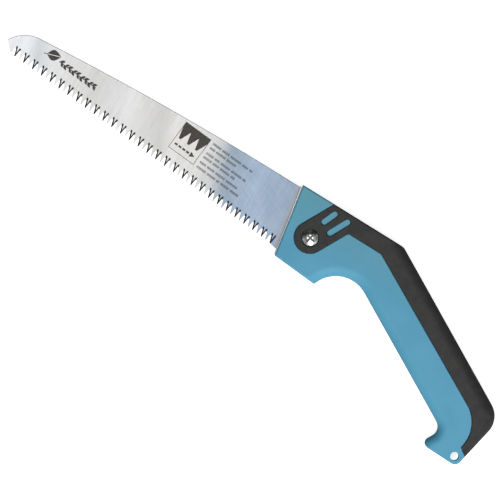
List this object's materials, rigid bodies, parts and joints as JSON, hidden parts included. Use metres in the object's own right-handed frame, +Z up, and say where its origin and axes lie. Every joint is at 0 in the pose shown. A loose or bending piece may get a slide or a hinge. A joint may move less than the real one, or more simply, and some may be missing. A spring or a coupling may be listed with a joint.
{
  "type": "folding pruning saw",
  "caption": "Folding pruning saw: straight tapering pull-cut blade on a pivot, cranked pistol-style handle in two colours with a hooked end and a hanging hole.",
  "frame": {"origin": "centre of the footprint of the open saw lying on its side, on the surface it lies on", "axes": "+X runs along the open blade from its tip towards the handle, +Y from the teeth towards the blade's back, +Z up through the handle's thickness, out of the side with the screw head"},
  "size_m": [0.4841, 0.1325, 0.0233],
  "materials": {
    "blade_steel": "ground and polished",
    "handle_plastic": "fine moulded texture",
    "soft_rubber": "soft matt overmould",
    "liner_steel": "stamped",
    "screw_chrome": "polished",
    "zinc_steel": "zinc plated",
    "bush_bronze": "sintered",
    "washer_polymer": "smooth",
    "spring_steel": "hardened"
  },
  "bodies": {
    "handle": {"handle_shell_near": "handle_plastic", "handle_shell_far": "handle_plastic", "soft_grip_near": "soft_rubber", "soft_grip_far": "soft_rubber", "liner_near": "liner_steel", "liner_far": "liner_steel", "liner_standoffs": "zinc_steel", "stop_pin": "spring_steel", "pivot_bush": "bush_bronze", "thrust_washer_near": "washer_polymer", "thrust_washer_far": "washer_polymer", "pivot_screw": "screw_chrome", "screw_cup_washer": "zinc_steel", "pivot_flat_washer": "zinc_steel", "pivot_spring_washer": "spring_steel", "pivot_nut": "zinc_steel", "handle_screws": "zinc_steel", "lock_rivets": "zinc_steel"},
    "blade": {"blade": "blade_steel"},
    "lock": {"lock_spring": "spring_steel"}
  },
  "joints": [
    {"name": "blade_fold", "type": "hinge", "parent": "handle", "child": "blade", "pos_m": [0.04345, 0.0328, 0.011], "axis": [0, 0, 1], "range_deg": [0, 151.8]},
    {"name": "lock_release", "type": "hinge", "parent": "handle", "child": "lock", "pos_m": [0.06685, 0.02013, 0.0139], "axis": [-0.3256, 0.9455, 0], "range_deg": [0, 3], "stiffness_Nm_per_rad": 3, "deforming": ["lock_spring"]}
  ]
}
